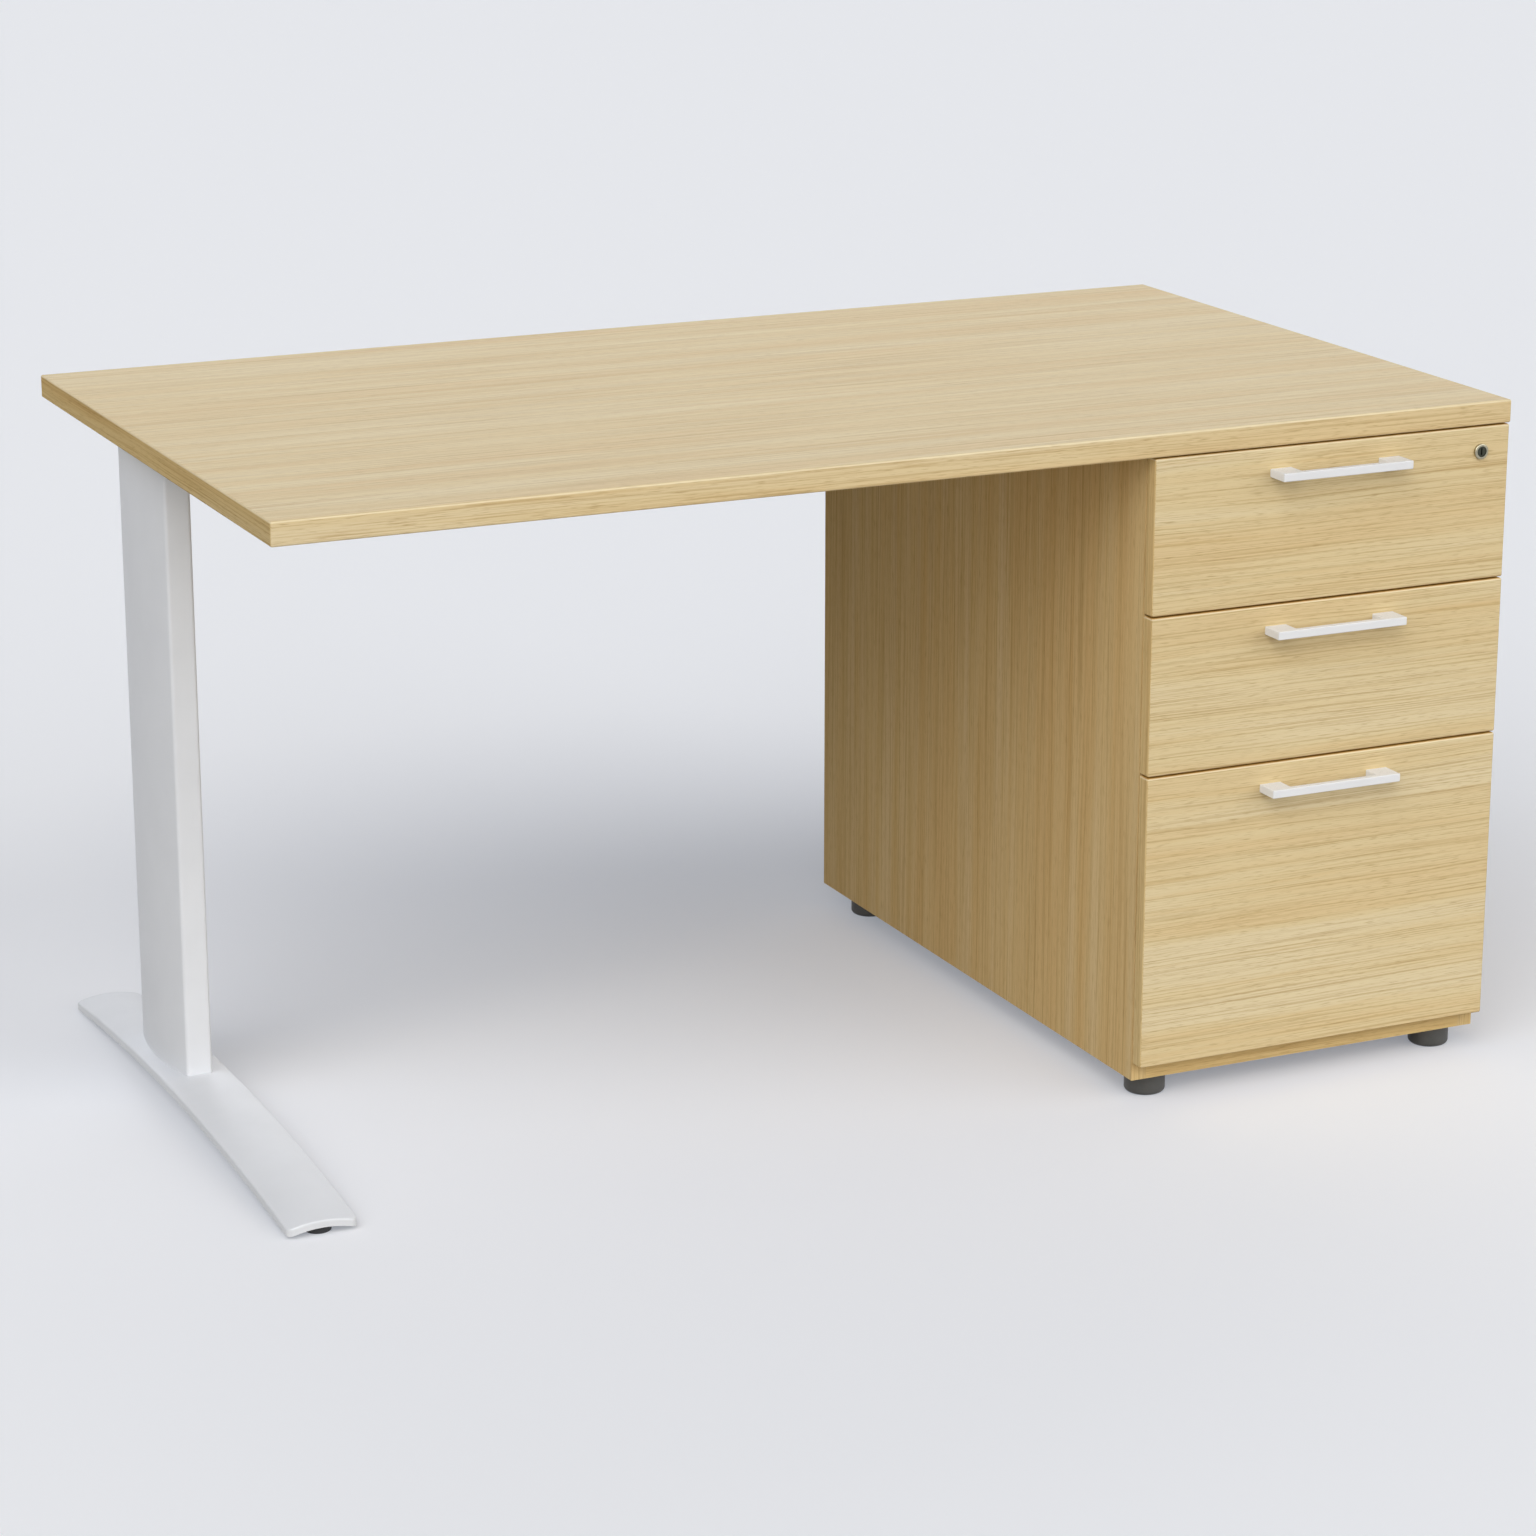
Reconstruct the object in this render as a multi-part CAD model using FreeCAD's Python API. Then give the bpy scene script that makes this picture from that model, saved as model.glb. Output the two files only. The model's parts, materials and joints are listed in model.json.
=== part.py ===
import FreeCAD, Part
import math
import os

from FreeCAD import Vector

# Pedestal desk in millimetres: +X to the user's right, +Y away from the user, +Z up.
# The origin is on the floor, under the middle of the outline, handles included.

# Desktop
desk_width = 1400.0
desk_depth = 800.0
desk_height = 745.0
top_thickness = 25.0
edge_radius = 2.0

# Pedestal carcass
pedestal_width = 438.0
board = 18.0
front_thickness = 18.0
front_setback = 2.0
front_gap = 0.5
back_setback = 5.0
reveal = 2.0
rail_width = 90.0
dowel_radius = 4.0
dowel_in_side = 12.0
dowel_in_board = 23.0
dowel_inset = 70.0

# Drawers
top_front_height = 169.0
centre_front_height = 173.0
top_box_headroom = 44.0
centre_box_headroom = 48.0
file_box_headroom = 71.0
box_lift = 15.0
box_rear_gap = 107.0
box_board = 12.0
bottom_board = 4.0
groove_depth = 6.0
groove_height = 10.0
groove_play = 0.1

# Telescopic runners
runner_gap = 13.0
runner_setback = 3.0
runner_end_gap = 6.5
runner_rise = 45.0
runner_height = 45.0
runner_sheet = 1.2
runner_lip_gap = 3.5
runner_lip = 4.0
runner_play = 0.6

# Handles
handle_length = 160.0
handle_height = 9.0
handle_projection = 28.0
handle_bar = 8.0
handle_leg = 26.0
handle_edge = 1.0
handle_drop = 27.0
handle_screw_spacing = 128.0
handle_screw_radius = 2.0
handle_screw_grip = 10.0

# Lock
lock_inset = 36.0
lock_drop = 27.0
lock_plug_radius = 5.5
lock_barrel_wall = 1.2
lock_ring_lip = 1.5
lock_ring_height = 3.0
lock_ring_edge = 1.0
lock_barrel_behind = 5.0
lock_plug_recess = 0.6
lock_stub_radius = 3.0
key_slot_width = 1.6
key_slot_height = 8.0
key_slot_depth = 8.0
cam_thickness = 2.0
cam_width = 9.0
cam_reach = 15.0

# Levelling feet of the pedestal
pedestal_foot_height = 26.0
pedestal_foot_radius = 22.5
pedestal_foot_edge = 5.0
pedestal_foot_inset_x = 35.0
pedestal_foot_inset_front = 32.0
pedestal_foot_inset_rear = 58.0
stud_radius = 4.0
stud_length = 12.0
insert_wall = 2.7
insert_lip = 2.0
insert_flange = 1.5

# Leg foot: an arched casting, curved across its width and along its length
leg_foot_width = 75.0
leg_foot_length = 760.0
leg_foot_end_inset = 5.0
leg_foot_front_setback = 35.0
leg_foot_rim_clear = 2.5
leg_foot_arch = 19.5
leg_foot_crown = 6.0
leg_foot_rim = 8.0
leg_foot_roof = 4.5
leg_foot_wall = 6.0
leg_foot_corner = 8.0
leg_foot_edge = 2.0
arch_overrun = 1.0
rib_thickness = 3.0
rib_lift = 1.0
rib_end_gap = 6.0
rib_boss_gap = 1.0
cross_rib_count = 8
bolt_boss_radius = 11.0
bolt_boss_depth = 7.0
glide_boss_radius = 8.0
glide_inset = 18.0
glide_radius = 14.0
glide_height = 6.0
glide_edge = 1.5
glide_stud_length = 6.0

# Leg column: a barrel-shaped tube with flat front and back
column_from_back = 278.0
column_depth = 165.0
column_end_width = 28.0
column_width = 46.0
column_wall = 2.5
column_corner = 4.0
column_insert = 12.0
insert_play = 0.1
bolt_radius = 4.0
bolt_head_radius = 6.5
bolt_head_height = 5.0
bolt_head_edge = 0.6
bolt_socket_width = 5.0
bolt_socket_depth = 2.5
bolt_spacing = 90.0

# Arm under the top and beam between leg and pedestal, both rectangular tube
arm_height = 12.0
arm_front_setback = 100.0
arm_back_setback = 60.0
arm_cap = 3.0
arm_cap_stub = 10.0
beam_height = 30.0
tube_wall = 2.0
access_hole_play = 1.0
bracket_sheet = 4.0
bracket_flange = 50.0
bracket_ear = 18.0

# Screws
wood_screw_radius = 2.5
wood_screw_bite = 16.0
screw_head_radius = 4.6
screw_head_height = 2.6
screw_head_edge = 1.4
cross_reach = 2.4
cross_width = 1.0
cross_depth = 1.4
arm_screw_end = 40.0
bracket_screw_length = 12.0

# Clearance between pieces that move past each other, and of a screw in its hole
running_play = 0.3
hole_play = 0.2

# Places worked out from the sizes above
handle_overhang = handle_projection - front_setback
x_left = -desk_width / 2
x_right = desk_width / 2
y_front = (handle_overhang - desk_depth) / 2
y_back = y_front + desk_depth
top_underside = desk_height - top_thickness

pedestal_left = x_right - pedestal_width
inner_left = pedestal_left + board
inner_right = x_right - board
front_face = y_front + front_setback
front_back = front_face + front_thickness
carcass_front = front_back + front_gap
carcass_back = y_back - back_setback
inner_back = carcass_back - board
carcass_bottom = pedestal_foot_height

leg_x = x_left + leg_foot_end_inset + leg_foot_width / 2
column_y = y_back - column_from_back
arm_bottom = top_underside - arm_height
foot_front = y_front + leg_foot_front_setback
foot_rear = foot_front + leg_foot_length
foot_middle = (foot_front + foot_rear) / 2
foot_crown_top = leg_foot_rim_clear + leg_foot_arch + leg_foot_rim + leg_foot_crown
arch_radius = ((leg_foot_length / 2) ** 2 + leg_foot_arch ** 2) / (2 * leg_foot_arch)
arch_centre_z = leg_foot_rim_clear + leg_foot_arch - arch_radius

insert_radius = stud_radius + running_play + insert_wall
insert_flange_radius = insert_radius + insert_lip
lock_barrel_radius = lock_plug_radius + running_play + lock_barrel_wall
lock_ring_radius = lock_barrel_radius + lock_ring_lip

along_x = Vector(1, 0, 0)
along_y = Vector(0, 1, 0)
up = Vector(0, 0, 1)
down = Vector(0, 0, -1)


def export(node, *solids):
    """Write one node, as a single solid or as a group of separate solids."""
    shape = solids[0] if len(solids) == 1 else Part.Compound(list(solids))
    shape.exportStep("parts/%s.step" % node)


def block(x, y, z):
    """Box between two values on each axis, each pair given as (low, high)."""
    return Part.makeBox(x[1] - x[0], y[1] - y[0], z[1] - z[0], Vector(x[0], y[0], z[0]))


def rod(radius, length, start, axis):
    """Round bar from a start point along an axis."""
    return Part.makeCylinder(radius, length, start, axis)


def around(middle, half):
    """Low and high value at the same distance from a middle value."""
    return (middle - half, middle + half)


def rounded_board(x, y, z):
    """Board with every edge rounded."""
    shape = block(x, y, z)
    return shape.makeFillet(edge_radius, shape.Edges)


def prism(points, travel):
    """Straight extrusion of a closed polygon."""
    outline = Part.makePolygon(points + points[:1])
    return Part.Face(outline).extrude(travel)


def headed(seat, axis, shank, head, edge, recess):
    """Screw or bolt: the head stands outside its seat point and the shank runs along the axis.

    shank is (radius, length), head is (radius, height), edge rounds the head and recess is the driver's
    (outline, depth), with the outline as points across the head.
    """
    top = seat - axis * head[1]
    across = along_y if abs(axis.x) > abs(axis.y) else along_x
    other = axis.cross(across)
    outline, depth = recess
    shape = rod(*head, top, axis)
    rim = min(shape.Edges, key=lambda e: (e.CenterOfMass - top).Length)
    shape = shape.makeFillet(edge, [rim])
    shape = shape.cut(prism([top + across * u + other * v for u, v in outline], axis * depth))
    return shape.fuse(rod(*shank, seat, axis)).removeSplitter()


def turned(points, quarters):
    """Points turned about the origin by a number of right angles."""
    for _ in range(quarters):
        points = [(-v, u) for u, v in points]
    return points


def screw(seat, axis, shank_radius, length):
    """Pan-head screw with a cross recess."""
    half = cross_width / 2
    arm = [(cross_reach, -half), (cross_reach, half), (half, half)]
    cross = [point for quarters in range(4) for point in turned(arm, quarters)]
    return headed(seat, axis, (shank_radius, length), (screw_head_radius, screw_head_height), screw_head_edge,
                  (cross, cross_depth))


def bolt(seat, axis, length):
    """Bolt of the leg, with a hexagon socket."""
    corner = bolt_socket_width / math.sqrt(3)
    angles = [math.radians(60 * i) for i in range(6)]
    hexagon = [(corner * math.cos(a), corner * math.sin(a)) for a in angles]
    return headed(seat, axis, (bolt_radius, length), (bolt_head_radius, bolt_head_height), bolt_head_edge,
                  (hexagon, bolt_socket_depth))


def drilled(shape, radius, length, starts, axis):
    """Shape with one round hole from each start point."""
    for start in starts:
        shape = shape.cut(rod(radius, length, start, axis))
    return shape


def box_tube(x, y, z, axis):
    """Rectangular tube that is open at both ends of the given axis, 'x' or 'y'."""
    inner_x = x if axis == "x" else (x[0] + tube_wall, x[1] - tube_wall)
    inner_y = y if axis == "y" else (y[0] + tube_wall, y[1] - tube_wall)
    return block(x, y, z).cut(block(inner_x, inner_y, (z[0] + tube_wall, z[1] - tube_wall)))


# Desktop

def arm_screw_places():
    """Seats of the screws that hold the arm, clear of the column, under the upper wall of the arm's tube."""
    front_end = y_front + arm_front_setback + arm_screw_end
    beside_column = column_y - column_depth / 2 - arm_screw_end
    behind_column = (column_y + column_depth / 2 + y_back - arm_back_setback) / 2
    places = (front_end, (front_end + beside_column) / 2, beside_column, behind_column)
    return [Vector(leg_x, y, top_underside - tube_wall) for y in places]


def rail_middles():
    """Middle of the front rail and of the rear rail, along the desk's depth."""
    return (carcass_front + rail_width / 2, inner_back - rail_width / 2)


def rail_screw_places():
    """Seats of the screws that hold the pedestal: under its two rails."""
    rail_x = (inner_left + rail_width, inner_right - rail_width)
    return [Vector(x, y, top_underside - board) for y in rail_middles() for x in rail_x]


def desktop():
    """Top board with blind holes for the screws that come up from below."""
    top = rounded_board((x_left, x_right), (y_front, y_back), (top_underside, desk_height))
    seats = arm_screw_places() + rail_screw_places()
    starts = [Vector(p.x, p.y, top_underside) for p in seats]
    return drilled(top, wood_screw_radius + hole_play, wood_screw_bite, starts, up)


# Pedestal carcass

def dowel_places(x, direction):
    """Ends of the dowels inside one side board; they point into the bottom board and the two rails."""
    bottom_z = carcass_bottom + board / 2
    rail_z = top_underside - board / 2
    start = x - direction * dowel_in_side
    places = [(y, bottom_z) for y in (carcass_front + dowel_inset, inner_back - dowel_inset)]
    places += [(y, rail_z) for y in rail_middles()]
    return [Vector(start, y, z) for y, z in places]


def carcass():
    """Side boards, bottom, back, rails and the dowels between them."""
    y_run = (carcass_front, carcass_back)
    z_run = (carcass_bottom, top_underside)
    x_run = (inner_left, inner_right)
    left_dowels = dowel_places(inner_left, 1)
    right_dowels = dowel_places(inner_right, -1)
    dowel_length = dowel_in_side + dowel_in_board

    def with_dowels(shape):
        shape = drilled(shape, dowel_radius + groove_play, dowel_length, left_dowels, along_x)
        return drilled(shape, dowel_radius + groove_play, dowel_length, right_dowels, -along_x)

    side_left = with_dowels(block((pedestal_left, inner_left), y_run, z_run))
    side_left = drilled(side_left, wood_screw_radius + hole_play, bracket_screw_length,
                        bracket_ear_places(pedestal_left), along_x)
    bottom = with_dowels(block(x_run, (carcass_front, inner_back), (carcass_bottom, carcass_bottom + board)))
    starts = [Vector(x, y, carcass_bottom) for x, y in pedestal_foot_places().values()]
    bottom = drilled(bottom, insert_radius, board, starts, up)
    bottom = drilled(bottom, insert_flange_radius, insert_flange, starts, up)
    rail_z = (top_underside - board, top_underside)
    rail_front = with_dowels(block(x_run, (carcass_front, carcass_front + rail_width), rail_z))
    rail_rear = with_dowels(block(x_run, (inner_back - rail_width, inner_back), rail_z))
    seats = rail_screw_places()
    rail_front = drilled(rail_front, wood_screw_radius + hole_play, board, seats, up).cut(lock_room())
    rail_rear = drilled(rail_rear, wood_screw_radius + hole_play, board, seats, up)

    export("pedestal_side_left", side_left)
    export("pedestal_side_right", with_dowels(block((inner_right, x_right), y_run, z_run)))
    export("pedestal_bottom", bottom)
    export("pedestal_back", block(x_run, (inner_back, carcass_back), z_run))
    export("pedestal_front_rail", rail_front)
    export("pedestal_rear_rail", rail_rear)
    dowels = [rod(dowel_radius, dowel_length, p, along_x) for p in left_dowels]
    dowels += [rod(dowel_radius, dowel_length, p, -along_x) for p in right_dowels]
    export("pedestal_dowels", *dowels)
    length = board + wood_screw_bite
    export("pedestal_top_screws", *[screw(p, up, wood_screw_radius, length) for p in seats])


# Levelling feet of the pedestal

def pedestal_foot_places():
    """Name and floor position of each levelling foot."""
    sides = {"left": pedestal_left + pedestal_foot_inset_x, "right": x_right - pedestal_foot_inset_x}
    front = carcass_front + pedestal_foot_inset_front
    ends = {"front": front, "rear": carcass_back - pedestal_foot_inset_rear}
    return {"%s_%s" % (end, side): (x, y) for end, y in ends.items() for side, x in sides.items()}


def pedestal_feet():
    """Round feet with studs, and the flanged inserts that the studs turn in."""
    inserts = []
    for name, (x, y) in pedestal_foot_places().items():
        top = pedestal_foot_height - running_play
        body = rod(pedestal_foot_radius, top, Vector(x, y, 0), up)
        body = body.makeFillet(pedestal_foot_edge, [e for e in body.Edges if e.BoundBox.ZMax < top / 2])
        stud = rod(stud_radius, stud_length + running_play, Vector(x, y, top), up)
        export("pedestal_foot_" + name, body.fuse(stud).removeSplitter())
        seat = Vector(x, y, carcass_bottom)
        sleeve = rod(insert_radius, board, seat, up)
        sleeve = sleeve.fuse(rod(insert_flange_radius, insert_flange, seat, up)).removeSplitter()
        inserts.append(sleeve.cut(rod(stud_radius + running_play, stud_length + running_play, seat, up)))
    export("pedestal_foot_inserts", *inserts)


# Drawers

def drawer_fronts():
    """Name, front bottom, front top and room above the box of each drawer, from the top down."""
    top_high = top_underside - reveal
    top_low = top_high - top_front_height
    centre_high = top_low - reveal
    centre_low = centre_high - centre_front_height
    file_high = centre_low - reveal
    file_low = carcass_bottom + board + reveal
    return [
        ("top_drawer", top_low, top_high, top_box_headroom),
        ("centre_drawer", centre_low, centre_high, centre_box_headroom),
        ("file_drawer", file_low, file_high, file_box_headroom),
    ]


def bow_handle(middle_x, middle_z):
    """Flat bow handle: a square bar on two wide legs, with blind holes for its screws."""
    x = around(middle_x, handle_length / 2)
    y = (front_face - handle_projection, front_face)
    z = around(middle_z, handle_height / 2)
    gap_x = (x[0] + handle_leg, x[1] - handle_leg)
    shape = block(x, y, z).cut(block(gap_x, (y[0] + handle_bar, y[1]), z))
    edges = [edge for edge in shape.Edges if edge.BoundBox.YMin < front_face - handle_edge]
    shape = shape.makeFillet(handle_edge, edges)
    starts = [p + along_y * -handle_screw_grip for p in handle_screw_places(middle_x, middle_z, front_face)]
    return drilled(shape, handle_screw_radius + hole_play, handle_screw_grip, starts, along_y)


def handle_screw_places(middle_x, middle_z, y):
    """Points on the two screw axes of a handle, on the plane at y."""
    return [Vector(x, y, middle_z) for x in around(middle_x, handle_screw_spacing / 2)]


def drawer(name, front_low, front_high, box_headroom):
    """One drawer: front, handle, box boards and the three members of its pair of runners."""
    middle_x = (pedestal_left + x_right) / 2
    handle_z = front_high - handle_drop
    front = rounded_board((pedestal_left, x_right), (front_face, front_back), (front_low, front_high))
    screws = handle_screw_places(middle_x, handle_z, front_back)
    front = drilled(front, handle_screw_radius + hole_play, front_thickness, screws, -along_y)
    if name == "top_drawer":
        centre = lock_centre()
        front = front.cut(rod(lock_barrel_radius, front_thickness, centre, along_y))

    box_left = inner_left + runner_gap
    box_right = inner_right - runner_gap
    box_back = inner_back - box_rear_gap
    box_low = front_low + box_lift
    box_z = (box_low, front_high - box_headroom)
    inside = (box_left + box_board, box_right - box_board)
    groove_z = (box_low + groove_height, box_low + groove_height + bottom_board + 2 * groove_play)
    groove = block((inside[0] - groove_depth, inside[1] + groove_depth),
                   (front_back, box_back - box_board + groove_depth), groove_z)
    bottom = block((inside[0] - groove_depth + groove_play, inside[1] + groove_depth - groove_play),
                   (front_back, box_back - box_board + groove_depth - groove_play),
                   (groove_z[0], groove_z[0] + bottom_board))

    length = front_thickness + handle_screw_grip
    export(name + "_front", front)
    export(name + "_handle", bow_handle(middle_x, handle_z))
    export(name + "_handle_screws", *[screw(p, -along_y, handle_screw_radius, length) for p in screws])
    export(name + "_side_left", block((box_left, inside[0]), (front_back, box_back), box_z).cut(groove))
    side_right = block((inside[1], box_right), (front_back, box_back), box_z).cut(groove)
    export(name + "_side_right", side_right.cut(lock_room()))
    export(name + "_back", block(inside, (box_back - box_board, box_back), box_z).cut(groove))
    export(name + "_bottom", bottom)
    runners(name, box_low + runner_rise)


def lipped_channel(start, depth, height, lip, facing):
    """Section of a folded channel as (reach, height) points; facing is 1 or -1 for the way that it opens."""
    far = start + facing * depth
    fold = far - facing * runner_sheet
    web = start + facing * runner_sheet
    half = height / 2
    upper = [(start, half), (far, half), (far, half - lip), (fold, half - lip), (fold, half - runner_sheet),
             (web, half - runner_sheet)]
    return upper + [(reach, -z) for reach, z in reversed(upper)]


def runners(name, middle_z):
    """Pair of runners, each of three nested channels with play between them."""
    fixed_depth = runner_gap - runner_lip_gap
    nest_start = runner_sheet + runner_play
    nest_height = runner_height - 2 * (runner_lip + runner_play)
    nest_depth = runner_gap - runner_sheet - runner_play - nest_start
    core_depth = runner_gap - nest_start - nest_start
    core_height = nest_height - 2 * (runner_lip + runner_play)
    members = {
        "fixed": lipped_channel(0, fixed_depth, runner_height, runner_lip, 1),
        "intermediate": lipped_channel(nest_start, nest_depth, nest_height, runner_lip, 1),
        "moving": lipped_channel(runner_gap, core_depth, core_height, runner_sheet, -1),
    }
    y = carcass_front + runner_setback
    length = inner_back - box_rear_gap - runner_end_gap - y
    for member, section in members.items():
        pair = []
        for side, direction in ((inner_left, 1), (inner_right, -1)):
            outline = [Vector(side + direction * reach, y, middle_z + z) for reach, z in section]
            pair.append(prism(outline, along_y * length))
        export("%s_runner_%s" % (name, member), *pair)


# Lock

def lock_centre():
    """Point on the lock's axis, on the face of the top drawer's front."""
    return Vector(x_right - lock_inset, front_face, top_underside - reveal - lock_drop)


def lock_room():
    """Space behind the front that the lock's barrel and its turning cam keep clear."""
    centre = lock_centre()
    swing = cam_reach + cam_width / 2
    depth = lock_barrel_behind + 2 * running_play + cam_thickness
    z = (centre.z - swing, centre.z + lock_barrel_radius + running_play)
    return block(around(centre.x, swing), (front_back, front_back + depth), z)


def lock():
    """Cam lock: ringed housing through the drawer front, plug with a plain key slot, and cam."""
    centre = lock_centre()
    face = centre - along_y * lock_ring_height
    barrel_length = front_thickness + lock_barrel_behind
    ring = rod(lock_ring_radius, lock_ring_height, face, along_y)
    rim = [edge for edge in ring.Edges if edge.BoundBox.YMax < centre.y - lock_ring_edge]
    ring = ring.makeFillet(lock_ring_edge, rim)
    housing = ring.fuse(rod(lock_barrel_radius, barrel_length, centre, along_y)).removeSplitter()
    bore = rod(lock_plug_radius + running_play, lock_ring_height + barrel_length, face, along_y)
    export("lock_housing", housing.cut(bore))

    plug_face = face + along_y * lock_plug_recess
    shoulder = lock_ring_height - lock_plug_recess + barrel_length + running_play
    plug = rod(lock_plug_radius, shoulder, plug_face, along_y)
    plug = plug.fuse(rod(lock_stub_radius, shoulder + cam_thickness, plug_face, along_y)).removeSplitter()
    slot = block(around(centre.x, key_slot_width / 2), (plug_face.y, plug_face.y + key_slot_depth),
                 around(centre.z, key_slot_height / 2))
    export("lock_plug", plug.cut(slot))

    cam_y = (plug_face.y + shoulder, plug_face.y + shoulder + cam_thickness)
    tongue = block(around(centre.x, cam_width / 2), cam_y, (centre.z - cam_reach, centre.z))
    cam_start = Vector(centre.x, cam_y[0], centre.z)
    cam = tongue.fuse(rod(cam_width / 2, cam_thickness, cam_start, along_y)).removeSplitter()
    export("lock_cam", cam.cut(rod(lock_stub_radius, cam_thickness, cam_start, along_y)))


# Leg foot

def arch_sweep(section):
    """Solid made by carrying a section at the foot's middle along the arch of its length."""
    axis_point = Vector(leg_x, foot_middle, arch_centre_z)
    reach = leg_foot_length / 2 + arch_overrun
    swing = math.degrees(math.asin(reach / arch_radius))
    return section.rotated(axis_point, along_x, -swing).revolve(axis_point, along_x, 2 * swing)


def arch_band(top, depth):
    """Band of even depth with a shallow arch across its width, carried along the foot and wider than it."""
    half_width = leg_foot_width / 2 + arch_overrun
    rise = leg_foot_crown * (half_width / (leg_foot_width / 2)) ** 2
    left = Vector(leg_x - half_width, foot_middle, top - rise)
    right = Vector(leg_x + half_width, foot_middle, top - rise)
    drop = down * depth
    crown = Part.Arc(left, Vector(leg_x, foot_middle, top), right).toShape()
    under = Part.Arc(right + drop, Vector(leg_x, foot_middle, top) + drop, left + drop).toShape()
    sides = [Part.makeLine(right, right + drop), Part.makeLine(left + drop, left)]
    return arch_sweep(Part.Face(Part.Wire([crown, sides[0], under, sides[1]])))


def rib_layer(half_width):
    """Layer between the foot's rim and its crown that the ribs are cut from, flat across its width."""
    x = around(leg_x, half_width)
    z = (foot_crown_top - leg_foot_crown - leg_foot_rim + rib_lift, foot_crown_top)
    corners = [Vector(x[0], foot_middle, z[0]), Vector(x[1], foot_middle, z[0]),
               Vector(x[1], foot_middle, z[1]), Vector(x[0], foot_middle, z[1])]
    return arch_sweep(Part.Face(Part.makePolygon(corners + corners[:1])))


def ribs():
    """Spine and evenly spaced cross ribs inside the foot, cut away round the heads of the column bolts."""
    clear = glide_inset + glide_radius + rib_end_gap
    first = foot_front + clear
    last = foot_rear - clear
    z = (0, foot_crown_top)
    inner = leg_foot_width / 2 - leg_foot_wall / 2
    step = (last - first) / (cross_rib_count - 1)
    spine = rib_layer(rib_thickness / 2).common(block(around(leg_x, rib_thickness), (first, last), z))
    slabs = [block(around(leg_x, inner), around(first + step * i, rib_thickness / 2), z)
             for i in range(cross_rib_count)]
    shape = spine.fuse(rib_layer(inner).common(Part.Compound(slabs)))
    for seat in bolt_seats():
        shape = shape.cut(rod(bolt_boss_radius + rib_boss_gap, foot_crown_top, seat, down))
    return shape


def plan_prism(inset):
    """Upright prism of the foot's plan with round corners, drawn in by an inset."""
    x = around(leg_x, leg_foot_width / 2 - inset)
    shape = block(x, (foot_front + inset, foot_rear - inset), (-foot_crown_top, 2 * foot_crown_top))
    upright = [edge for edge in shape.Edges if edge.BoundBox.ZLength > foot_crown_top]
    return shape.makeFillet(max(leg_foot_corner - inset, leg_foot_corner / 4), upright)


def bolt_places():
    """Positions of the two bolts in each end of the column, as (x, y)."""
    return [(leg_x, y) for y in around(column_y, bolt_spacing / 2)]


def glide_places():
    """Name and floor position of the two glides."""
    return {"front": (leg_x, foot_front + glide_inset), "rear": (leg_x, foot_rear - glide_inset)}


def leg_foot():
    """Arched casting with a deep rim, ribs, and bosses for the column bolts and the glide studs."""
    core = arch_band(foot_crown_top - leg_foot_roof / 2, foot_crown_top)
    plate = arch_band(foot_crown_top, leg_foot_rim).common(plan_prism(0))
    outer = max(plate.Faces, key=lambda face: face.CenterOfMass.z * face.Area)
    plate = plate.makeFillet(leg_foot_edge, outer.Edges)
    pocket = arch_band(foot_crown_top - leg_foot_roof, leg_foot_rim)
    shape = plate.cut(pocket.common(plan_prism(leg_foot_wall)))
    shape = shape.fuse(ribs().common(core))
    for seat in bolt_seats():
        boss = rod(bolt_boss_radius, foot_crown_top - seat.z, seat, up)
        shape = shape.fuse(boss.common(core))
    for x, y in glide_places().values():
        start = Vector(x, y, glide_height + running_play)
        boss = rod(glide_boss_radius, foot_crown_top, start, up)
        shape = shape.fuse(boss.common(core))
        shape = shape.cut(rod(stud_radius + running_play, glide_stud_length, start, up))
    holes = [Vector(x, y, 0) for x, y in bolt_places()]
    return drilled(shape, bolt_radius + hole_play, 2 * foot_crown_top, holes, up).removeSplitter()


def bolt_seats():
    """Points on the flats under the bolt bosses, at a fixed depth under the arched crown."""
    seats = []
    for x, y in bolt_places():
        crown_radius = foot_crown_top - arch_centre_z
        crown_z = arch_centre_z + math.sqrt(crown_radius ** 2 - (y - foot_middle) ** 2)
        seats.append(Vector(x, y, crown_z - leg_foot_roof - bolt_boss_depth))
    return seats


def glides():
    """Round black glides on studs, one under each end of the leg's foot."""
    for name, (x, y) in glide_places().items():
        body = rod(glide_radius, glide_height, Vector(x, y, 0), up)
        body = body.makeFillet(glide_edge, [e for e in body.Edges if e.BoundBox.ZMax < glide_edge])
        stud = rod(stud_radius, glide_stud_length, Vector(x, y, glide_height), up)
        export("leg_glide_" + name, body.fuse(stud).removeSplitter())


# Leg column, arm and beam

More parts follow.
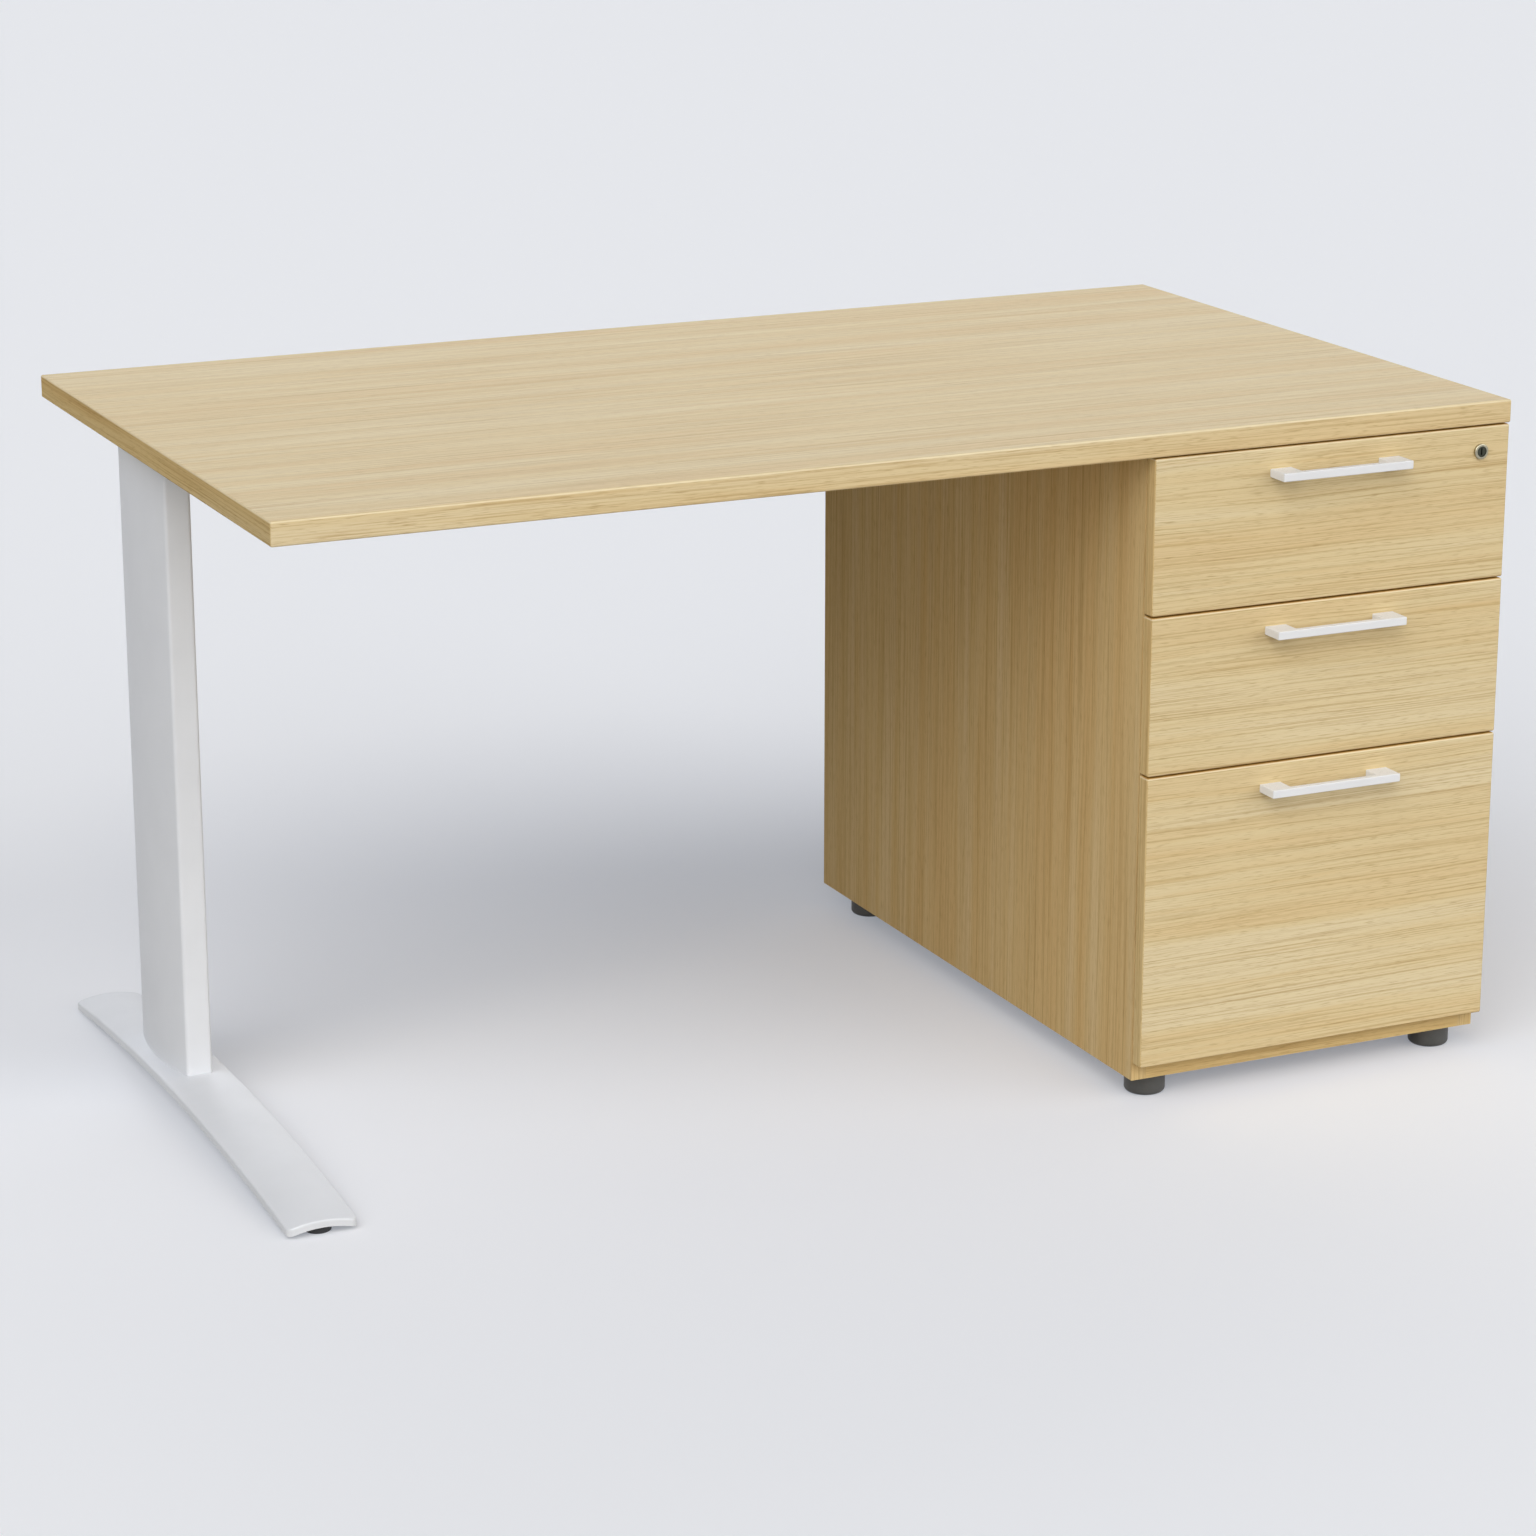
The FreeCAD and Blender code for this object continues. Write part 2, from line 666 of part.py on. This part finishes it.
def barrel(inset, z):
    """Upright solid with flat ends and bowed sides, drawn in from the column's outline by an inset."""
    half_depth = column_depth / 2 - inset
    half_end = column_end_width / 2 - inset
    half_width = column_width / 2 - inset
    corners = [Vector(leg_x + x, column_y + y, z[0]) for x, y in (
        (-half_end, -half_depth), (half_end, -half_depth), (half_end, half_depth), (-half_end, half_depth))]
    bows = [Vector(leg_x + x, column_y, z[0]) for x in (half_width, -half_width)]
    outline = Part.Wire([
        Part.makeLine(corners[0], corners[1]),
        Part.Arc(corners[1], bows[0], corners[2]).toShape(),
        Part.makeLine(corners[2], corners[3]),
        Part.Arc(corners[3], bows[1], corners[0]).toShape(),
    ])
    shape = Part.Face(outline).extrude(up * (z[1] - z[0]))
    upright = [edge for edge in shape.Edges if edge.BoundBox.XLength + edge.BoundBox.YLength < column_wall]
    return shape.makeFillet(max(column_corner - inset, column_corner / 4), upright)


def leg():
    """Foot, column with its threaded inserts, bolts, and the arm under the top with caps and screws."""
    solid_arch = arch_band(foot_crown_top, foot_crown_top)
    export("leg_foot", leg_foot())
    glides()

    column = barrel(0, (0, arm_bottom)).cut(barrel(column_wall, (0, arm_bottom))).cut(solid_arch)
    export("leg_column", column)

    inside = column_wall + insert_play
    bolt_holes = [Vector(x, y, 0) for x, y in bolt_places()]
    low = barrel(inside, (0, foot_crown_top + column_insert)).cut(solid_arch)
    high = barrel(inside, (arm_bottom - column_insert, arm_bottom))
    low = drilled(low, bolt_radius + insert_play, desk_height, bolt_holes, up)
    high = drilled(high, bolt_radius + insert_play, desk_height, bolt_holes, up)
    export("leg_column_inserts", low, high)

    low_seats = bolt_seats()
    low_length = foot_crown_top + column_insert - max(seat.z for seat in low_seats)
    bolts = [bolt(seat, up, low_length) for seat in low_seats]
    arm_floor = arm_bottom + tube_wall
    high_length = tube_wall + column_insert
    bolts += [bolt(Vector(x, y, arm_floor), down, high_length) for x, y in bolt_places()]
    export("leg_bolts", *bolts)

    arm_x = around(leg_x, column_width / 2)
    arm_y = (y_front + arm_front_setback, y_back - arm_back_setback)
    arm_z = (arm_bottom, top_underside)
    seats = arm_screw_places()
    arm = box_tube(arm_x, (arm_y[0] + arm_cap, arm_y[1] - arm_cap), arm_z, "y")
    arm = drilled(arm, bolt_radius + hole_play, arm_bottom + tube_wall, bolt_holes, up)
    bolt_access = [Vector(x, y, top_underside) for x, y in bolt_places()]
    arm = drilled(arm, bolt_head_radius + access_hole_play, tube_wall, bolt_access, down)
    screw_access = [Vector(p.x, p.y, arm_bottom) for p in seats]
    arm = drilled(arm, screw_head_radius + access_hole_play, tube_wall, screw_access, up)
    arm = drilled(arm, wood_screw_radius + hole_play, tube_wall, seats, up)
    arm = drilled(arm, wood_screw_radius + hole_play, tube_wall,
                  [p - along_x * tube_wall for p in bracket_ear_places(leg_x + column_width / 2)], along_x)
    export("leg_arm", arm)
    length = tube_wall + wood_screw_bite
    export("leg_arm_screws", *[screw(p, up, wood_screw_radius, length) for p in seats])

    stub_x = (arm_x[0] + tube_wall + insert_play, arm_x[1] - tube_wall - insert_play)
    stub_z = (arm_z[0] + tube_wall + insert_play, arm_z[1] - tube_wall - insert_play)
    front_cap = block(arm_x, (arm_y[0], arm_y[0] + arm_cap), arm_z)
    front_cap = front_cap.fuse(block(stub_x, (arm_y[0] + arm_cap, arm_y[0] + arm_cap + arm_cap_stub), stub_z))
    rear_cap = block(arm_x, (arm_y[1] - arm_cap, arm_y[1]), arm_z)
    rear_cap = rear_cap.fuse(block(stub_x, (arm_y[1] - arm_cap - arm_cap_stub, arm_y[1] - arm_cap), stub_z))
    export("leg_arm_caps", front_cap, rear_cap)


def bracket_ear_places(x):
    """Screw positions in the two ears of a beam bracket, on the upright plane at x."""
    ear = column_width / 2 + bracket_ear / 2
    return [Vector(x, y, arm_bottom + arm_height / 2) for y in around(column_y, ear)]


def beam():
    """Stiffening beam under the top, its two angle brackets and their screws."""
    start = leg_x + column_width / 2
    ends = {"left": (start, 1), "right": (pedestal_left, -1)}
    y = around(column_y, column_width / 2)
    z = (top_underside - beam_height, top_underside)
    tube = box_tube((start + bracket_sheet, pedestal_left - bracket_sheet), y, z, "x")
    screws = []
    for name, (x, direction) in ends.items():
        inner = x + direction * bracket_sheet
        tip = x + direction * bracket_flange
        upright = block(sorted((x, inner)), around(column_y, column_width / 2 + bracket_ear),
                        (z[0] - bracket_sheet, z[1]))
        shelf = block(sorted((x, tip)), y, (z[0] - bracket_sheet, z[0]))
        ears = bracket_ear_places(inner)
        shelf_middle = (inner + tip) / 2
        shelf_y = around(column_y, column_width / 4)
        under = [Vector(shelf_middle, side, z[0] - bracket_sheet) for side in shelf_y]
        inward = along_x * -direction
        bracket = drilled(upright.fuse(shelf), wood_screw_radius + hole_play, bracket_sheet, ears, inward)
        bracket = drilled(bracket, wood_screw_radius + hole_play, bracket_sheet, under, up).removeSplitter()
        tube = drilled(tube, wood_screw_radius + hole_play, bracket_sheet + tube_wall, under, up)
        export("beam_bracket_" + name, bracket)
        screws += [screw(p, inward, wood_screw_radius, bracket_screw_length) for p in ears]
        screws += [screw(p, up, wood_screw_radius, bracket_screw_length) for p in under]
    export("support_beam", tube)
    export("beam_screws", *screws)


os.makedirs("parts", exist_ok=True)
export("desktop", desktop())
carcass()
pedestal_feet()
for item in drawer_fronts():
    drawer(*item)
lock()
leg()
beam()
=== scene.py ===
import json
import math

import bpy
import numpy as np
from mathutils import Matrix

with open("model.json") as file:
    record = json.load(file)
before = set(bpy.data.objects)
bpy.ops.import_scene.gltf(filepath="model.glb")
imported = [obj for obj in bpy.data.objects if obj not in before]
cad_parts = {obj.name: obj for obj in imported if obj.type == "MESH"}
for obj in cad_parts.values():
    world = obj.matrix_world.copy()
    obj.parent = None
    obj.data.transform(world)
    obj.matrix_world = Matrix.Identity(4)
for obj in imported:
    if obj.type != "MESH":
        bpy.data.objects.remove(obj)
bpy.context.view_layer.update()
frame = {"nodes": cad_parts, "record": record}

MM = 0.001

# View of the photograph, with its place in metres and its angles in degrees
CAMERA_PLACE = (-1.918, -4.142, 1.648)
CAMERA_AZIMUTH = 24.81
CAMERA_ELEVATION = 16.28
CAMERA_FOCAL_PIXELS = 4255.0
IMAGE_PIXELS = 1536
SENSOR_WIDTH = 36.0

# Broad lamps of a white studio: azimuth from the front towards the right, height angle and spread, all in
# degrees, then strength and colour
LAMPS = {
    "key_lamp_right": (41.0, 16.0, 60.0, 1.76, "#FDFEFF"),
    "high_lamp_front": (-14.0, 42.0, 60.0, 0.48, "#FFFDFA"),
    "high_lamp_left": (-60.0, 47.0, 60.0, 0.98, "#E2EDFF"),
    "low_lamp_left": (-45.0, 30.0, 60.0, 1.44, "#FFF9EE"),
    "low_lamp_rear": (152.0, 15.0, 60.0, 0.70, "#F4F8FF"),
}
ROOM_STRENGTH = 0.03
BACKDROP_COLOUR = "#E6E7EB"

# White paper floor, which pales between two distances from the desk in metres. Light that it throws back on
# the desk takes the bounce colour, and a share of cool glow thins the shadows on it.
FLOOR_COLOUR = "#F6F4F3"
FLOOR_FAR_COLOUR = "#FFFFFF"
FLOOR_NEAR_AND_FAR = (0.5, 1.4)
FLOOR_BOUNCE_COLOUR = "#B2AEA7"
FLOOR_GLOW_COLOUR = "#E4EEFF"
FLOOR_FAR_GLOW_COLOUR = "#F2F5FF"
FLOOR_GLOW = 0.27
FLOOR_HALF = 60.0
FLOOR_DROP = 0.1 * MM

# Most values of a noise pattern lie between these two
NOISE_LOW = 0.3
NOISE_HIGH = 0.7

# Oak print: the cells of its patterns in millimetres, along and across the grain
WANDER_CELL = (520, 60)
WANDER_REACH = 14
BAND_CELL = (900, 34)
STREAK_CELL = (520, 11)
LINE_CELL = (280, 1.5)
# Real pores are about 0.3 mm wide, and are drawn coarser so that they show
PORE_CELL = (18, 0.9)
PRINT_RELIEF = 0.12
PRINT_BUMP = 0.25
SATIN_ROUGHNESS = 0.42

# Oak tones: the bands by their place in the pattern, then the stains over them. Each stain has the values of
# its pattern where it starts and where it is full, the share that it then covers, and its tone.
BAND_TONES = [(0.34, "#E5CA94"), (0.50, "#E7D09C"), (0.66, "#EAD6A7")]
STREAK_STAIN = ((0.56, 0.76), 0.30, "#D7AF6C")
LINE_STAIN = ((0.52, 0.28), 0.62, "#B89458")
PORE_STAIN = ((0.58, 0.76), 0.50, "#AA864C")
# The arris tone is no stain but a painted highlight, pale along the upper arrises of edge strips, with the
# same four values
ARRIS_PAINTED_HIGHLIGHT = ((0.05, 0.20), 0.50, "#F0E4C4")

# Cosines that tell a board's surfaces apart: an end strip looks along the grain by more than the first, a
# broad face looks through the board by more than the second, and an edge strip by less than the third
END_FACING = 0.75
FACE_FACING = 0.9
STRIP_FACING = 0.5

# Strength of the relief on grained and on rolled finishes
GRIT_BUMP = 0.3
ROLLING_BUMP = 0.2


def linear(colour):
    """sRGB hex colour as linear RGBA: c / 12.92 up to 0.04045, else ((c + 0.055) / 1.055) ** 2.4."""
    srgb = np.array([int(colour[i:i + 2], 16) for i in (1, 3, 5)]) / 255
    rgb = np.where(srgb <= 0.04045, srgb / 12.92, ((srgb + 0.055) / 1.055) ** 2.4)
    return (*rgb.tolist(), 1.0)


def add(tree, kind, inputs=None, **settings):
    """Add a node: settings are its properties, inputs are links from sockets or plain values by socket."""
    made = tree.nodes.new("ShaderNode" + kind)
    for key, value in settings.items():
        setattr(made, key, value)
    for key, value in (inputs or {}).items():
        if isinstance(value, bpy.types.NodeSocket):
            tree.links.new(value, made.inputs[key])
        else:
            made.inputs[key].default_value = value
    return made


def new_finish(name, **values):
    """Empty material with one Principled shader whose constant values are set on its own sockets."""
    finish = bpy.data.materials.new(name)
    finish.use_nodes = True
    tree = finish.node_tree
    shader = tree.nodes["Principled BSDF"]
    for key, value in values.items():
        shader.inputs[key.replace("_", " ")].default_value = value
    return finish, tree, shader


def ramp(tree, factor, stops):
    """Colour ramp through (position, sRGB hex) stops."""
    made = add(tree, "ValToRGB", {"Fac": factor})
    elements = made.color_ramp.elements
    while len(elements) < len(stops):
        elements.new(1.0)
    for element, (position, colour) in zip(elements, stops):
        element.position = position
        element.color = linear(colour)
    return made.outputs["Color"]


def grain_noise(tree, place, cell, detail, roughness=0.55):
    """Noise whose cell is so many mm long on the first axis and so many mm wide on the other two."""
    length, width = cell
    scale = (1 / (length * MM), 1 / (width * MM), 1 / (width * MM))
    scaled = add(tree, "VectorMath", {0: place, 1: scale}, operation="MULTIPLY")
    values = {"Vector": scaled.outputs[0], "Scale": 1.0, "Detail": detail, "Roughness": roughness}
    return add(tree, "TexNoise", values).outputs["Fac"]


def stain_or_painted_highlight(tree, colour, pattern, span, share, tone):
    """Colour with a tone laid over it, from none to a share of it as the pattern goes through the span."""
    cover = add(tree, "MapRange", {0: pattern, 1: span[0], 2: span[1], 3: 0.0, 4: share}).outputs[0]
    return add(tree, "Mix", {0: cover, 6: colour, 7: linear(tone)}, data_type="RGBA").outputs[2]


def oak_melamine(name, axes, end_axes, satin, tints):
    """Oak-print melamine pressed on chipboard, with plastic edge strips.

    The paper print gives fine growth lines that wander a little, broad bands from honey to a greenish cream,
    a few golden streaks and short dark pores. The pressed face can be satin and the edge strips are matt and
    a little deeper in colour, with a painted highlight along their upper arrises. axes names the axis along
    the grain, the one across it and the one through the board; strips across the grain's ends take end_axes
    instead.
    satin is the share of a clear gloss on the face, or 0 for a matt board, and tints colour the print on the
    face, on strips along the grain and on strips across its ends.
    """
    finish, tree, shader = new_finish(name, Specular_IOR_Level=0.0, Coat_Roughness=SATIN_ROUGHNESS)
    spot = add(tree, "TexCoord")
    place = add(tree, "SeparateXYZ", {0: spot.outputs["Object"]}).outputs
    facing = add(tree, "SeparateXYZ", {0: spot.outputs["Normal"]}).outputs
    face = add(tree, "CombineXYZ", {i: place[axis] for i, axis in enumerate(axes)}).outputs[0]
    strip = add(tree, "CombineXYZ", {i: place[axis] for i, axis in enumerate(end_axes)}).outputs[0]
    turned = add(tree, "Math", {0: facing[axes[0]]}, operation="ABSOLUTE").outputs[0]
    on_end = add(tree, "Math", {0: turned, 1: END_FACING}, operation="GREATER_THAN").outputs[0]
    grain = add(tree, "Mix", {0: on_end, 4: face, 5: strip}, data_type="VECTOR").outputs[1]

    # The growth lines wander sideways, in slow waves along the grain
    wander = grain_noise(tree, grain, WANDER_CELL, detail=3)
    aside = add(tree, "Math", {0: wander, 1: -0.5}, operation="ADD").outputs[0]
    aside = add(tree, "Math", {0: aside, 1: WANDER_REACH * MM}, operation="MULTIPLY").outputs[0]
    sideways = add(tree, "CombineXYZ", {1: aside}).outputs[0]
    bent = add(tree, "VectorMath", {0: grain, 1: sideways}, operation="ADD").outputs[0]

    bands = grain_noise(tree, bent, BAND_CELL, detail=2)
    streaks = grain_noise(tree, bent, STREAK_CELL, detail=2)
    lines = grain_noise(tree, bent, LINE_CELL, detail=2, roughness=0.6)
    pores = grain_noise(tree, bent, PORE_CELL, detail=1)
    colour = ramp(tree, bands, BAND_TONES)
    colour = stain_or_painted_highlight(tree, colour, streaks, *STREAK_STAIN)
    colour = stain_or_painted_highlight(tree, colour, lines, *LINE_STAIN)
    colour = stain_or_painted_highlight(tree, colour, pores, *PORE_STAIN)

    # Edge strips are told from the broad faces by the way that they face
    broad = add(tree, "Math", {0: facing[axes[2]]}, operation="ABSOLUTE").outputs[0]
    edge = add(tree, "MapRange", {0: broad, 1: FACE_FACING, 2: STRIP_FACING}).outputs[0]
    face_tint, strip_tint, end_tint = (linear(tint) for tint in tints)
    strip_tone = add(tree, "Mix", {0: on_end, 6: strip_tint, 7: end_tint}, data_type="RGBA").outputs[2]
    board_tone = add(tree, "Mix", {0: edge, 6: face_tint, 7: strip_tone}, data_type="RGBA").outputs[2]
    mixed = {0: 1.0, 6: colour, 7: board_tone}
    colour = add(tree, "Mix", mixed, data_type="RGBA", blend_type="MULTIPLY").outputs[2]

    # An arris faces upwards and sideways at once, so the product of the two is largest there, and a painted
    # highlight lies on it
    sides = add(tree, "Math", {0: 1.0, 1: facing["Z"]}, operation="SUBTRACT").outputs[0]
    highlight_arris = add(tree, "Math", {0: sides, 1: facing["Z"]}, operation="MULTIPLY").outputs[0]
    colour = stain_or_painted_highlight(tree, colour, highlight_arris, *ARRIS_PAINTED_HIGHLIGHT)
    tree.links.new(colour, shader.inputs["Base Color"])

    if satin > 0:
        coat = add(tree, "MapRange", {0: edge, 3: satin, 4: 0.0}).outputs[0]
        tree.links.new(coat, shader.inputs["Coat Weight"])
    bump = add(tree, "Bump", {"Strength": PRINT_BUMP, "Distance": PRINT_RELIEF * MM, "Height": lines})
    tree.links.new(bump.outputs[0], shader.inputs["Normal"])
    return finish


def cloud_and_grain(tree, shader, spot, tones, cloud, grains, rough, bump):
    """Colour that drifts between two tones, with gloss and relief that follow the grains.

    The clouds of colour are cloud mm wide, the roughness runs between the two values of rough, and bump is
    the relief's strength and its depth in mm.
    """
    dark, pale = tones
    clouds = grain_noise(tree, spot, (cloud, cloud), detail=3)
    drift = ramp(tree, clouds, [(NOISE_LOW, dark), (NOISE_HIGH, pale)])
    tree.links.new(drift, shader.inputs["Base Color"])
    spread = {0: grains, 1: NOISE_LOW, 2: NOISE_HIGH, 3: rough[0], 4: rough[1]}
    tree.links.new(add(tree, "MapRange", spread).outputs[0], shader.inputs["Roughness"])
    strength, depth = bump
    relief = add(tree, "Bump", {"Strength": strength, "Distance": depth * MM, "Height": grains})
    tree.links.new(relief.outputs[0], shader.inputs["Normal"])


def speckled(name, tones, cloud, grit, depth, rough, **values):
    """Finish with a clouded colour and a fine grainy bump, in cells of grit mm that are depth mm deep.

    The real grit of mouldings, castings and plate is finer still, and is drawn coarser so that it shows.
    """
    finish, tree, shader = new_finish(name, **values)
    spot = add(tree, "TexCoord").outputs["Object"]
    grains = grain_noise(tree, spot, (grit, grit), detail=2)
    cloud_and_grain(tree, shader, spot, tones, cloud, grains, rough, (GRIT_BUMP, depth))
    return finish


def rolled(name, tones, cloud, cell, depth, rough, **values):
    """Finish with a clouded colour and rolling lines along the desk's depth, whose cell is given in mm."""
    finish, tree, shader = new_finish(name, **values)
    spot = add(tree, "TexCoord").outputs["Object"]
    place = add(tree, "SeparateXYZ", {0: spot}).outputs
    along = add(tree, "CombineXYZ", {0: place["Y"], 1: place["X"], 2: place["Z"]}).outputs[0]
    lines = grain_noise(tree, along, cell, detail=2)
    cloud_and_grain(tree, shader, spot, tones, cloud, lines, rough, (ROLLING_BUMP, depth))
    return finish


# Oak melamine in each direction that a board's grain runs: across the fronts, along the top, up the carcass
# The fronts' strips along the grain take a deeper orange tint, partly their own tone and partly painted
# shade in the gaps between the fronts
oak_across = oak_melamine("oak_melamine_drawer_front", "XZY", "ZYX", 0.2, ("#F1F4FF", "#E3CDA0", "#F1EDE8"))
oak_top = oak_melamine("oak_melamine_desktop", "XYZ", "YZX", 0.6, ("#FAFAFC", "#F1F2FC", "#E8E2D9"))
# The carcass boards take a deeper, warmer tint of the same print, which is painted warm shade as under the
# desk
oak_level = oak_melamine("oak_melamine_carcass_level", "XYZ", "YZX", 0.0, ("#EEE7E1", "#F1E8D8", "#F1E8D8"))
oak_upright = oak_melamine("oak_melamine_carcass_side", "ZYX", "YXZ", 0.0, ("#EEE7E1", "#EFE8DF", "#EFE8DF"))
oak_back = oak_melamine("oak_melamine_carcass_back", "ZXY", "XYZ", 0.0, ("#EEE7E1", "#EFE8DF", "#EFE8DF"))

# Polyester powder baked on steel: a cool white with a soft sheen and a faint orange-peel ripple
powder_coat = speckled("white_polyester_powder_coat", ("#D9DBDF", "#DEE0E4"), cloud=90, grit=1.6,
                       depth=0.03, rough=(0.34, 0.46), IOR=1.5)
# Enamel stoved on a zinc casting: a brighter, smoother white with little gloss
handle_coat = speckled("white_enamelled_zinc_casting", ("#E0E1E4", "#E6E7E9"), cloud=90, grit=1.2,
                       depth=0.02, rough=(0.26, 0.34), Specular_IOR_Level=0.15)
# Melamine paper pressed on chipboard: a dull white with a fine pearl grain
white_melamine = speckled("white_melamine_board", ("#DCDCDA", "#E4E4E2"), cloud=90, grit=0.9,
                          depth=0.05, rough=(0.45, 0.55), IOR=1.5)
# Moulded polypropylene: a waxy dark grey with the fine spark grain of its mould
grey_moulding = speckled("grey_moulded_polypropylene", ("#454543", "#4E4D4B"), cloud=20, grit=0.8,
                         depth=0.06, rough=(0.42, 0.55), IOR=1.49)
# Moulded nylon: a dull near black with the same grain
black_moulding = speckled("black_moulded_nylon", ("#1A1A1B", "#222223"), cloud=15, grit=0.8,
                          depth=0.06, rough=(0.40, 0.55), IOR=1.53)
# Nickel plate polished with a mop: a warm grey mirror, a little blurred
nickel = speckled("polished_nickel_plate", ("#A8A28C", "#B5AF99"), cloud=8, grit=1.5,
                  depth=0.002, rough=(0.14, 0.22), Metallic=1.0)
# Black nickel on a zinc casting: a dark metal with a greenish cast and a dull shine
dark_zinc = speckled("black_nickelled_zinc_casting", ("#3B3D36", "#47493F"), cloud=4, grit=0.5,
                     depth=0.02, rough=(0.32, 0.46), Metallic=1.0)
# Beech turned to a dowel: a plain pinkish tan with small flecks
beech = speckled("turned_beech", ("#C9A578", "#D6B58A"), cloud=12, grit=2.0,
                 depth=0.05, rough=(0.50, 0.60), IOR=1.5)
# Zinc plated on sheet steel: a cool grey metal with faint rolling lines. Real ones are far finer, and are
# drawn coarser so that they show.
zinc = rolled("zinc_plated_sheet_steel", ("#B4B8BD", "#CDD1D4"), cloud=35, cell=(60, 1.2),
              depth=0.02, rough=(0.28, 0.42), Metallic=1.0)

SLOT_FINISH = {
    "drawer_board": white_melamine,
    "beech": beech,
    "white_metal": powder_coat,
    "steel": zinc,
    "chrome": nickel,
    "dark_metal": dark_zinc,
    "grey_plastic": grey_moulding,
    "black_plastic": black_moulding,
}
OAK_FINISH = {
    "desktop": oak_top,
    "pedestal_side_left": oak_upright,
    "pedestal_side_right": oak_upright,
    "pedestal_back": oak_back,
    "pedestal_bottom": oak_level,
    "pedestal_front_rail": oak_level,
    "pedestal_rear_rail": oak_level,
}


def finish_of(node, slot):
    """Finish of one CAD node, from its slot in the record and, for oak, from its grain direction."""
    if slot == "oak":
        return OAK_FINISH.get(node, oak_across)
    if node.endswith("_handle"):
        return handle_coat
    return SLOT_FINISH[slot]


for part in frame["record"]["subparts"]:
    piece = frame["nodes"][part["node"]]
    for material_slot in piece.material_slots:
        material_slot.material = finish_of(part["node"], part["material_slot"])


# Studio

def seen_rays(tree):
    """1 for a ray from the camera, off a mirror or through glass, 0 for one that lights the object."""
    ray = add(tree, "LightPath").outputs
    seen = ray["Is Camera Ray"]
    for kind in ("Is Glossy Ray", "Is Transmission Ray"):
        seen = add(tree, "Math", {0: seen, 1: ray[kind]}, operation="MAXIMUM").outputs[0]
    return seen


def floor():
    """Flat floor out to the horizon: one square under the feet, paler far off, with thin cool shadows."""
    half = FLOOR_HALF
    corners = [(-half, -half, -FLOOR_DROP), (half, -half, -FLOOR_DROP), (half, half, -FLOOR_DROP),
               (-half, half, -FLOOR_DROP)]
    mesh = bpy.data.meshes.new("floor")
    mesh.from_pydata(corners, [], [(0, 1, 2, 3)])
    made = bpy.data.objects.new("floor", mesh)
    bpy.context.scene.collection.objects.link(made)
    finish = bpy.data.materials.new("lit_white_paper")
    finish.use_nodes = True
    tree = finish.node_tree
    tree.nodes.clear()
    spot = add(tree, "TexCoord").outputs["Object"]
    away = add(tree, "VectorMath", {0: spot}, operation="LENGTH").outputs["Value"]
    near, far = FLOOR_NEAR_AND_FAR
    spread = add(tree, "MapRange", {0: away, 1: near, 2: far}).outputs[0]
    tones = {0: spread, 6: linear(FLOOR_COLOUR), 7: linear(FLOOR_FAR_COLOUR)}
    tone = add(tree, "Mix", tones, data_type="RGBA").outputs[2]
    glows = {0: spread, 6: linear(FLOOR_GLOW_COLOUR), 7: linear(FLOOR_FAR_GLOW_COLOUR)}
    glow_tone = add(tree, "Mix", glows, data_type="RGBA").outputs[2]
    seen = seen_rays(tree)
    colours = {0: seen, 6: linear(FLOOR_BOUNCE_COLOUR), 7: tone}
    colour = add(tree, "Mix", colours, data_type="RGBA").outputs[2]
    paper = add(tree, "BsdfDiffuse", {"Color": colour}).outputs[0]
    glow = add(tree, "Emission", {"Color": glow_tone, "Strength": 1.0}).outputs[0]
    share = add(tree, "Math", {0: seen, 1: FLOOR_GLOW}, operation="MULTIPLY").outputs[0]
    mixed = add(tree, "MixShader", {0: share, 1: paper, 2: glow}).outputs[0]
    add(tree, "OutputMaterial", {"Surface": mixed})
    mesh.materials.append(finish)


def light():
    """Broad lamps, and a dim world which looks like the backdrop when it is seen or mirrored."""
    for name, (azimuth, elevation, spread, strength, colour) in LAMPS.items():
        lamp = bpy.data.lights.new(name, "SUN")
        lamp.energy = strength
        lamp.angle = math.radians(spread)
        lamp.color = linear(colour)[:3]
        made = bpy.data.objects.new(name, lamp)
        made.rotation_euler = (math.radians(90 - elevation), 0.0, math.radians(azimuth))
        bpy.context.scene.collection.objects.link(made)

    world = bpy.data.worlds.new("studio")
    world.use_nodes = True
    tree = world.node_tree
    tree.nodes.clear()
    strength = add(tree, "MapRange", {0: seen_rays(tree), 3: ROOM_STRENGTH, 4: 1.0}).outputs[0]
    backdrop = add(tree, "Background", {"Color": linear(BACKDROP_COLOUR), "Strength": strength}).outputs[0]
    add(tree, "OutputWorld", {"Surface": backdrop})
    bpy.context.scene.world = world


def camera():
    """Camera at the photograph's place and angle, with no shift."""
    lens = bpy.data.cameras.new("photo_camera")
    lens.sensor_width = SENSOR_WIDTH
    lens.lens = CAMERA_FOCAL_PIXELS / IMAGE_PIXELS * SENSOR_WIDTH
    lens.clip_end = 4 * FLOOR_HALF
    made = bpy.data.objects.new("photo_camera", lens)
    made.location = CAMERA_PLACE
    made.rotation_euler = (math.radians(90 - CAMERA_ELEVATION), 0.0, math.radians(-CAMERA_AZIMUTH))
    bpy.context.scene.collection.objects.link(made)
    bpy.context.scene.camera = made


floor()
light()
camera()
bpy.context.scene.view_settings.view_transform = "Standard"
